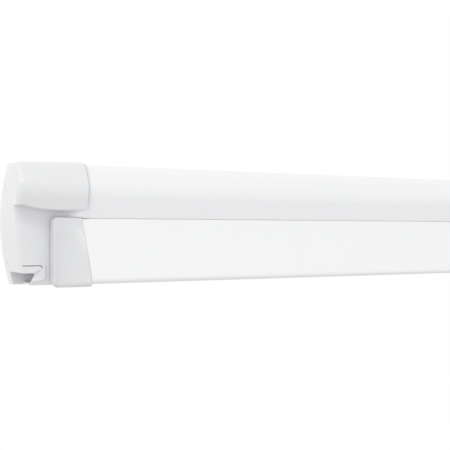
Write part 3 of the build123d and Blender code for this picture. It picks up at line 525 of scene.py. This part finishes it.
def side_x(point):
    """Bowed side face of an end cap: how far out it is at a (depth, height)."""
    depth, z = point[0], point[1]
    low = min(max((TAPER_Z - z) / TAPER_Z, 0.0), 1.0)
    taper = SIDE_TAPER * min(depth / RECESS, 1.0) ** 2 * low * low * (3 - 2 * low)
    bow = SIDE_BOW * (z - BOW_Z) ** 2
    if z >= BOW_Z:
        bow *= 1.0 - min(depth / HOOD_FRONT, 1.0)
    return CAP_SIDE_X - bow - taper


def cap_section(share, top_in=0.0, front_in=0.0, lip_in=0.0, wall=0.0):
    """Outline of an end cap at a share of its width, with its top, front and lip drawn in."""
    top = CAP_TOP - TOP_FALL * share - top_in - wall
    lip = HOOD_LIP + LIP_RISE * share**3.6 + lip_in + wall
    recess = RECESS - RECESS_SHARE * front_in - wall
    corners = (
        (CAP_BACK + wall, CAP_BASE - BASE_DROP * share**3 + wall),
        (CAP_BACK + wall, BACK_TOP + BACK_RISE * share**3 - top_in - wall),
        (CROWN_DEPTH, top + CROWN_RISE * share),
        (BROW_DEPTH - BROW_SHARE * front_in - wall, top),
        (HOOD_FRONT - front_in - wall, HOOD_FRONT_Z),
        (HOOD_CHIN - front_in - wall, lip),
        (recess, lip + RECESS_STEP),
        (recess, CAP_BASE + wall),
    )
    radii = (1.0, 8.0 - 5.0 * share, 40.0, 19.0, 24.0, 3.6 - 2.4 * share, 1.0, 1.5)
    radii = [max(radius - wall, 0.4) for radius in radii]
    return rounded(corners, radii, CAP_STEPS, CAP_SPANS)


def cap_rings(steps, bends, shares, wall=0.0):
    """Rings of an end cap's skin, from the open rim to the middle of its bowed side."""
    rim_x = HOOD_IN_X + RIM_WIDTH
    bend = SIDE_ROUND - wall
    rings = []
    for k in range(1, steps + 1):
        share = k / steps
        section = cap_section(share, wall=wall)
        rings.append(at_x(section, lambda p: rim_x + share * (side_x(p) - SIDE_ROUND - rim_x)))
    for k in range(1, bends + 1):
        turn = math.radians(90 * k / bends)
        drawn_in = bend * (1 - math.cos(turn))
        section = cap_section(1.0, TOP_SHARE * drawn_in, drawn_in, wall=wall)
        rings.append(at_x(section, lambda p: side_x(p) - SIDE_ROUND + bend * math.sin(turn)))
    depth, z = SIDE_CENTRE
    for share in shares:
        inner = [(depth + (p[0] - depth) * share, z + (p[1] - z) * share) for p in section]
        rings.append(at_x(inner, lambda p: side_x(p) - wall))
    return rings


def cap_rim():
    """Rounded open rim of an end cap, beside the cassette."""
    rings = []
    for k in range(RIM_STEPS + 1):
        turn = math.radians(90 - 90 / RIM_STEPS * k)
        drawn_in = 1 - math.cos(turn)
        section = cap_section(0.0, RIM_ROUND * drawn_in, RIM_ROUND * drawn_in, RIM_LIP * drawn_in)
        rings.append(at_x(section, HOOD_IN_X + RIM_WIDTH * (1 - math.sin(turn))))
    return rings


def end_cap(name):
    """Moulding of the left end cap: its inner wall, its rounded rim and its outer skin."""
    inner = [at_x(cap_section(0.0, lip_in=RIM_LIP, wall=CAP_WALL), HOOD_IN_X)]
    inner += cap_rings(*INNER_RINGS, CAP_WALL)
    outer = cap_rim() + cap_rings(*OUTER_RINGS)
    return solid(name, inner[::-1] + outer)


# Screws in the caps' sides: how deep, how high, and how far the head stands out and its bore goes in
SCREW_DEPTH = 20.0
SCREW_HEIGHTS = {"upper": 40.0, "lower": -40.0}
SCREW_PROUD = 0.15
BORE_RADIUS, BORE_IN, BORE_LENGTH = 4.0, 1.4, 12.0


def side_bore(z):
    """Counterbore for a screw's head."""
    out = side_x((SCREW_DEPTH, z)) - BORE_IN + BORE_LENGTH / 2
    return done(
        begin(
            "bore",
            bpy.ops.mesh.primitive_cylinder_add,
            vertices=BORE_SIDES,
            radius=BORE_RADIUS * MM,
            depth=BORE_LENGTH * MM,
            location=spot(out, SCREW_DEPTH, z),
            rotation=(0, math.pi / 2, 0),
        )
    )


def cap_screw(name, z):
    """Painted screw in a cap's side: a low head with a round dimple, flush with the bowed face."""
    top = side_x((SCREW_DEPTH, z)) + SCREW_PROUD
    rings = (
        (1232.0, 1.6), (1234.0, 2.0), (top - 1.65, 2.0), (top - 1.65, 3.95), (top - 0.5, 3.95),
        (top - 0.15, 3.6), (top, 3.0), (top, 1.6), (top - 0.5, 1.5),
    )
    loops = []
    for x, radius in rings:
        points = [(SCREW_DEPTH - radius * cosine, z + radius * sine) for cosine, sine in ROUND]
        follows_face = x > top - 1.6
        loops.append(at_x(points, lambda p: x + side_x(p) + SCREW_PROUD - top if follows_face else x))
    return solid(name, loops)


# Crank outlet in the left cap's lower corner, by distance out and height. CLEAR_X and CLEAR_Z are past
# the cap's side and under its base
CLEAR_X, CLEAR_Z = 1306.0, -68.0
FLAP_BASE = -49.6
BLOCK_TOP, BLOCK_BASE = -48.0, -70.0
POCKET_BASE = -61.0
SOCKET_HOLE_RADIUS, SOCKET_HOLE_LENGTH, SOCKET_Z = 6.4, 14.0, -50.0


def pocket_block():
    """Thick part inside the moulding that the crank's pocket is sunk into."""
    outline = [(1308.0, BLOCK_BASE), (1308.0, BLOCK_TOP), (1280.5, BLOCK_TOP), (1276.0, -46.4)]
    outline += [(1270.0, -44.6), (1266.0, -46.0), (1263.0, BLOCK_TOP), (1260.4, BLOCK_TOP)]
    outline += [(1260.4, BLOCK_BASE)]
    inside = [at_x(cap_section(0.0, wall=1.0), HOOD_IN_X + 2.0)] + cap_rings(*INNER_RINGS, 1.0)
    return cut(prism("pocket", outline, near=20.4, far=78.0), solid("cap_body", inside), "INTERSECT")


def outlet_frame():
    """Raised frame round the crank outlet."""
    outline = [(1287.0, -60.9), (1289.4, FLAP_BASE), (1290.9, -39.4)]
    outline += arc((1270.8, -44.2), 4.8, first=90, last=0)
    outline += [(1266.0, -54.4), (1267.0, -56.4), (1268.8, -57.4)]
    return bevelled(prism("outlet_frame", outline, near=64.0, far=72.7), 1.3, 5, 60)


def notch_cutter():
    """Opening for the crank in the cap's front, under the flap."""
    outline = [(CLEAR_X, CLEAR_Z), (CLEAR_X, FLAP_BASE), (1278.4, FLAP_BASE), (1277.4, -49.8)]
    outline += [(1277.0, -50.6), (1277.3, -52.0), (1285.5, CLEAR_Z)]
    return prism("notch", outline, near=60.0, far=78.0)


def cavity_cutter():
    """Pocket behind the front, open to the side and below, wider than its opening."""
    outline = [(CLEAR_X, CLEAR_Z), (CLEAR_X, FLAP_BASE), (1262.0, FLAP_BASE), (1262.0, POCKET_BASE)]
    outline += [(1277.5, POCKET_BASE), (1278.0, CLEAR_Z)]
    return prism("cavity", outline, near=22.0, far=67.4)


def flap_groove():
    """Groove over the outlet's flap, curling down at its right end."""
    middle = (1272.8, -44.8)
    outline = [(1290.0, -41.6)] + arc(middle, 3.2, first=90, last=2)
    outline += arc(middle, 2.2, first=2, last=90) + [(1290.0, -42.6)]
    return prism("groove", outline, near=69.2, far=76.0)


def flap_dish():
    """Dished face beside the flap, which falls back towards the pocket."""
    front, far, steps = 72.9, 78.0, 8
    levels = (
        (-45.4, 1269.0, 1270.6), (-46.2, 1268.2, 1272.4), (-47.6, 1267.8, 1275.0),
        (FLAP_BASE, 1267.5, 1277.6), (-52.0, 1267.4, 1279.4), (-54.5, 1267.5, 1281.0),
        (-55.8, 1268.6, 1281.6), (-56.6, 1271.0, 1282.0),
    )
    loops = []
    for z, right, left in levels:
        curve = []
        for k in range(steps + 1):
            share = k / steps
            sunk = 0.3 * (left - right) * (0.4 * share + 0.6 * share**2)
            curve.append((right + (left - right) * share, front - sunk))
        curve += [(left, far), (right, far)]
        loops.append([spot(x, depth, z) for x, depth in curve])
    return solid("dish", loops)


def socket_hole(x, y):
    """Round hole through the outlet's roof for the crank's socket."""
    return done(
        begin(
            "socket_hole",
            bpy.ops.mesh.primitive_cylinder_add,
            vertices=BORE_SIDES,
            radius=SOCKET_HOLE_RADIUS * MM,
            depth=SOCKET_HOLE_LENGTH * MM,
            location=(x, y, SOCKET_Z * MM),
        )
    )


def crank_socket(x, y):
    """Collar of the crank's socket with its hole, just under the outlet's flap."""
    middle = Vector((x, y, 0))
    rings = ((-47.0, 3.2), (-47.0, 5.2), (-47.6, 5.6), (-49.7, 5.6), (-50.0, 5.3), (-50.0, 3.4), (-47.8, 3.3))
    loops = []
    for z, radius in rings:
        loops.append([middle + Vector((radius * cosine, radius * sine, z)) * MM for cosine, sine in ROUND])
    return solid("crank_socket", loops)


# Webs over the rail caps: how far out, how deep at the cap and how much deeper at the cassette
WEB_OUT_X = 1259.0
WEB_DEPTH, WEB_REACH = 70.8, 14.0
WEB_LEVELS = (7.25, 10.0, 13.0, 17.0)
WEB_DIP, WEB_DIP_X = 0.85, 1231.7
WEB_STEPS = 16


def cap_web(name):
    """Curved wall between a cap's recessed face and the cassette's front, over the rail cap."""
    curve = []
    for k in range(WEB_STEPS + 1):
        share = k / WEB_STEPS
        rise = min(1.25 * share, 1.0)
        depth = WEB_DEPTH + WEB_REACH * (0.5 - 0.5 * math.cos(math.pi * rise))
        curve.append((WEB_OUT_X - (WEB_OUT_X - HOOD_IN_X) * share, depth))
    outline = curve + [(HOOD_IN_X, 81.0), (1229.0, 74.0), (WEB_OUT_X, 68.0)]
    loops = []
    for z in WEB_LEVELS:
        dip = WEB_DIP if z == WEB_LEVELS[0] else 0.0
        loops.append([spot(x, depth, z - (dip if x < WEB_DIP_X else 0.0)) for x, depth in outline])
    return bevelled(solid(name, loops), 0.5, 2, 50)


left_cap = end_cap("left_cap_moulding")
for z in SCREW_HEIGHTS.values():
    cut(left_cap, side_bore(z))
right_cap = soften(mirrored(left_cap, "right_cap_moulding"))
socket_low, socket_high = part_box("winch_socket")
socket_x, socket_y = [(socket_low[i] + socket_high[i]) / 2 for i in (0, 1)]
cut(left_cap, pocket_block(), "UNION")
cut(left_cap, outlet_frame(), "UNION")
for space in (flap_dish(), flap_groove(), notch_cutter(), cavity_cutter(), socket_hole(socket_x, socket_y)):
    cut(left_cap, space)
soften(left_cap)
dress(left_cap, moulded_white, "root", "white_plastic", "left_end_cap")
dress(crank_socket(socket_x, socket_y), zinc_plate, "winch", "zinc_steel", "winch_socket")
dress(right_cap, moulded_white, "root", "white_plastic", "right_end_cap")
left_web = cap_web("left_cap_web")
right_web = mirrored(left_web, "right_cap_web")
for web in (left_web, right_web):
    dress(soften(web), moulded_white, "root", "white_plastic")
for place, z in SCREW_HEIGHTS.items():
    left_screw = cap_screw(f"left_cap_screw_{place}", z)
    right_screw = mirrored(left_screw, f"right_cap_screw_{place}")
    for screw in (left_screw, right_screw):
        dress(screw, painted_screw, "root", "painted_steel", "end_cap_screws")

# Gaskets and the cassette's lip seal

BEAD_OUT_X, BEAD_HALF, BEAD_LIFT, BEAD_RISE = 1225.95, 1.0, 0.05, 1.5
BEAD_STEPS = 8
EDGE_LOW_Z, EDGE_BACK = 13.6, 8.4
SEAL_HALF, SEAL_INNER = 1227.6, 400.0


def cassette_edge():
    """Points of the cassette's outline from its front lip over the top to the back."""
    corners = (
        (8.0, -60.0), (8.0, 57.0), (30.0, 62.5), (76.0, 62.5), (89.7, 36.0), (83.0, 6.6), (69.5, -60.0)
    )
    points = rounded(corners, (3, 6, 40, 18, 24, 0.01, 0.01), (2, 6, 8, 10, 8, 1, 1), (2, 2, 4, 2, 4, 2, 2))
    return [p for p in points if p[1] > EDGE_LOW_Z and p[0] > EDGE_BACK]


def gasket(name):
    """Rounded rubber bead that closes the joint between the hood and the cassette."""
    path = cassette_edge()
    turns = [math.radians(180 / BEAD_STEPS * k) for k in range(BEAD_STEPS + 1)]
    ring = [
        (BEAD_OUT_X - BEAD_HALF + BEAD_HALF * math.cos(a), BEAD_LIFT + BEAD_RISE * math.sin(a)) for a in turns
    ]
    loops = []
    for i, point in enumerate(path):
        along = (path[min(i + 1, len(path) - 1)] - path[max(i - 1, 0)]).normalized()
        outward = Vector((-along.y, along.x))
        lifted = [(x, point + outward * lift) for x, lift in ring]
        loops.append([spot(x, p[0], p[1]) for x, p in lifted])
    return solid(name, loops)


def lip_seal():
    """Thin seal under the cassette's front lip, against the closed lead rail."""
    section = ((80.6, 6.7), (82.5, 6.7), (82.7, 6.4), (82.6, 6.1), (80.9, 6.1), (80.6, 6.4))
    places = (-SEAL_HALF, -SEAL_INNER, SEAL_INNER, SEAL_HALF)
    return solid("lip_seal", [[Vector((x, -p[0], p[1])) * MM for p in section] for x in places])


left_gasket = gasket("left_gasket")
right_gasket = mirrored(left_gasket, "right_gasket")
for bead in (left_gasket, right_gasket):
    dress(bead, pale_rubber, "root", "grey_rubber", "cap_gaskets")
dress(lip_seal(), pale_rubber, "root", "grey_rubber")

# Rail caps

RAIL_CAP_IN_X, RAIL_CAP_RIM, RAIL_CAP_SWEEP = 1232.0, 1.1, 24.4
RAIL_CAP_ROUND, RAIL_CAP_FRONT_IN = 4.5, 2.8
RAIL_CAP_WALL = 2.0
RIM_RINGS, SWEEP_RINGS, ROUND_RINGS = 3, 12, 6


def rail_cap_section(share, depth_in=0.0, height_in=0.0):
    """Points of a rail cap between the rail, at 0, and its swept outer end, at 1."""
    inner = ((72.0, 7.0), (85.0, 7.0), (92.0, -5.0), (123.0, -62.0), (72.0, -61.4))
    outer = ((72.0, 7.0), (86.6, 7.0), (88.0, -5.0), (88.4, -64.4), (72.0, -63.4))
    moves = ((0, -1), (-1, -1), (-1, 0), (-1, 1), (0, 1))
    corners = [
        (a[0] + (b[0] - a[0]) * share + m[0] * depth_in, a[1] + (b[1] - a[1]) * share + m[1] * height_in)
        for a, b, m in zip(inner, outer, moves)
    ]
    return rounded(corners, (1.5, 3.0, 20.0, 4.5, 1.0), (2, 6, 9, 7, 2), (3, 1, 8, 6, 9))


def rail_cap(name):
    """Moulded rail cap: its front sweeps back to an upright edge with a soft rim all round."""
    sweep_x = RAIL_CAP_IN_X + RAIL_CAP_RIM
    loops = []
    for k in range(RIM_RINGS + 1):
        turn = math.radians(90 - 90 / RIM_RINGS * k)
        drawn_in = RAIL_CAP_RIM * (1 - math.cos(turn))
        section = rail_cap_section(0.0, drawn_in, drawn_in)
        loops.append(at_x(section, RAIL_CAP_IN_X + RAIL_CAP_RIM * (1 - math.sin(turn))))
    for k in range(1, SWEEP_RINGS + 1):
        share = k / SWEEP_RINGS
        loops.append(at_x(rail_cap_section(share), sweep_x + RAIL_CAP_SWEEP * share))
    for k in range(1, ROUND_RINGS + 1):
        turn = math.radians(90 / ROUND_RINGS * k)
        drawn_in = 1 - math.cos(turn)
        section = rail_cap_section(1.0, RAIL_CAP_FRONT_IN * drawn_in, RAIL_CAP_ROUND * drawn_in)
        loops.append(at_x(section, sweep_x + RAIL_CAP_SWEEP + RAIL_CAP_ROUND * math.sin(turn)))
    piece = drawn(name, loops)
    fill_end(piece, loops[-1])
    done(piece)
    return modify(piece, "SOLIDIFY", thickness=RAIL_CAP_WALL * MM, offset=-1.0, use_even_offset=True)


left_rail_cap = rail_cap("left_rail_cap_moulding")
right_rail_cap = mirrored(left_rail_cap, "right_rail_cap_moulding")
# The rail caps take the darker copy of the moulding: painted shade on their faces
dress(soften(left_rail_cap), shaded_white, "lead_rail", "white_plastic", "left_rail_cap")
dress(soften(right_rail_cap), shaded_white, "lead_rail", "white_plastic", "right_rail_cap")

# Canopy

# Half of its width, in metres
CANOPY_HALF = 1.196
# Roll and tube, the layers' distance, and the angle at which the cloth leaves the roll
ROLL_DEPTH, ROLL_Z, TUBE_RADIUS = 43.5, 22.0, 25.0
TUBE_GAP = 0.35
LAYER, WOUND_THICKNESS = 0.6, 0.5
CANOPY_LENGTH = 2050.0
TANGENT = math.radians(5.08)
WIND_STEP = math.radians(9)
# Front stretch, by depth and height
HEM, ROLL_EDGE = (78.0, 3.5), (76.1, 24.9)
FRONT_ROWS, FRONT_THICKNESS = 120, 0.6
HEM_BEAD_RADIUS, HEM_BEAD_DEPTH, HEM_BEAD_Z = 2.7, 78.0, 0.5


def flat_sheet(name, points):
    """One-sided sheet across the awning, through a chain of (depth, height) points."""
    loops = []
    for side in (-1, -0.5, 0, 0.5, 1):
        loops.append([Vector((side * CANOPY_HALF, -p[0] * MM, p[1] * MM)) for p in points])
    return done(drawn(name, loops, closed=False), 60)


def mark_cloth(piece, places):
    """UV map in metres: across the canopy and along its length, from (point, length) pairs."""
    layer = piece.data.uv_layers.new(name="cloth")
    which = finder([Vector((0, -point[0] * MM, point[1] * MM)) for point, length in places])
    for loop in piece.data.loops:
        co = piece.data.vertices[loop.vertex_index].co
        layer.data[loop.index].uv = (co.x, places[which((0, co.y, co.z))][1] * MM)


def canopy_roll():
    """Canopy wound on its tube as one spiral sheet, and the sheet's measured length in metres."""
    places = []
    length, angle = CANOPY_LENGTH, TANGENT
    inner = TUBE_RADIUS + TUBE_GAP
    while length > 0:
        radius = math.sqrt(inner**2 + length * LAYER / math.pi)
        point = (ROLL_DEPTH + radius * math.cos(angle), ROLL_Z + radius * math.sin(angle))
        places.append((point, CANOPY_LENGTH - length))
        angle += WIND_STEP
        length -= radius * WIND_STEP
    points = [place[0] for place in places]
    piece = flat_sheet("wound_canopy", points)
    mark_cloth(piece, places)
    modify(piece, "SOLIDIFY", thickness=WOUND_THICKNESS * MM, offset=0.0)
    measured = sum((Vector(b) - Vector(a)).length for a, b in zip(points, points[1:]))
    return piece, measured * MM


def canopy_front():
    """Front stretch of the canopy, in many rows, and its length in metres."""
    start, end = Vector(HEM), Vector(ROLL_EDGE)
    points = [start + (end - start) * (k / FRONT_ROWS) for k in range(FRONT_ROWS + 1)]
    piece = flat_sheet("front_canopy", points)
    modify(piece, "SOLIDIFY", thickness=FRONT_THICKNESS * MM, offset=0.0)
    return piece, (end - start).length * MM


def canopy_bead():
    """Round bead in the canopy's hem, with soft ends."""
    piece = begin(
        "hem_bead",
        bpy.ops.mesh.primitive_cylinder_add,
        vertices=28,
        radius=HEM_BEAD_RADIUS * MM,
        depth=2 * CANOPY_HALF,
        location=(0, -HEM_BEAD_DEPTH * MM, HEM_BEAD_Z * MM),
        rotation=(0, math.pi / 2, 0),
    )
    return bevelled(done(piece), 0.8, 3, 40)


roll, roll_length = canopy_roll()
dress(roll, rolled_cloth, "roller", "canopy_cloth", "canopy_roll")
strip, strip_length = canopy_front()
strip.data.materials.append(awning_cloth)
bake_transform(strip)
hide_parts("canopy_front")
dress(canopy_bead(), awning_cloth, "lead_rail", "canopy_cloth", "canopy_keder")

# Studio

FLOOR_PLACE = (0, -1.0, -2.45)
FLOOR_RADIUS = 4.0
# Light of the air on the object; the camera sees it white
AIR = 0.88
# Name, place, aim, size and power of each lamp
LAMPS = (
    ("top_softbox", (-2.0, -1.5, 2.0), (-1.0, 0, 0), (2.6, 0.5), 12.0),
    ("left_softbox", (-3.2, 0.2, 0.6), (-1.3, 0, 0), (0.5, 1.2), 3.5),
    ("front_softbox", (1.0, -3.4, 0.3), (0.0, 0, 0), (2.0, 1.6), 6.5),
)


def studio_floor():
    """Pale floor under the stretched legs."""
    bpy.ops.object.select_all(action="DESELECT")
    bpy.ops.mesh.primitive_circle_add(
        vertices=96, radius=FLOOR_RADIUS, fill_type="NGON", location=FLOOR_PLACE
    )
    floor = bpy.context.object
    floor.name = "floor"
    bpy.ops.object.transform_apply(location=True)
    floor.data.materials.append(
        coated("floor_paint", (0.72, 0.72, 0.725), (0.7, 0.7, 0.7), (0.7, 0.8), 0.05, 0.05)
    )


def studio_air():
    """Even light all round, and a background that is white to look at."""
    world = bpy.data.worlds.new("studio_air")
    bpy.context.scene.world = world
    world.use_nodes = True
    tree = world.node_tree
    path = node(tree, "ShaderNodeLightPath")
    seen = math_node(tree, "MAXIMUM", path.outputs["Is Camera Ray"], path.outputs["Is Glossy Ray"])
    seen = math_node(tree, "MAXIMUM", seen, path.outputs["Is Transmission Ray"])
    strength = node(tree, "ShaderNodeMapRange", {"Value": seen, "To Min": AIR, "To Max": 1.0})
    air = tree.nodes["Background"]
    air.inputs["Color"].default_value = (1, 1, 1, 1)
    tree.links.new(strength.outputs["Result"], air.inputs["Strength"])


def towards(place, aim):
    """Turn of a lamp that shines from its place to its aim."""
    return (Vector(aim) - Vector(place)).to_track_quat("-Z", "Y").to_euler()


def studio_lamps():
    """Soft lamps above, to the left and in front."""
    for name, place, aim, size, power in LAMPS:
        light = bpy.data.lights.new(name, "AREA")
        light.shape = "RECTANGLE"
        light.size, light.size_y = size
        light.energy = power
        lamp = bpy.data.objects.new(name, light)
        bpy.context.scene.collection.objects.link(lamp)
        lamp.location = place
        lamp.rotation_euler = towards(place, aim)


studio_floor()
studio_air()
studio_lamps()

# Camera, at the photograph's place: low, in front of the left end, turned to the right

camera = bpy.data.objects.new("camera", bpy.data.cameras.new("camera"))
bpy.context.scene.collection.objects.link(camera)
camera.location = (-1.459, -0.852, -0.009)
camera.rotation_euler = (math.radians(90.6), 0, math.radians(-27))
camera.data.lens = 61.44
camera.data.sensor_width = 36
camera.data.clip_start = 0.01
bpy.context.scene.camera = camera
bpy.context.scene.view_settings.view_transform = "Standard"
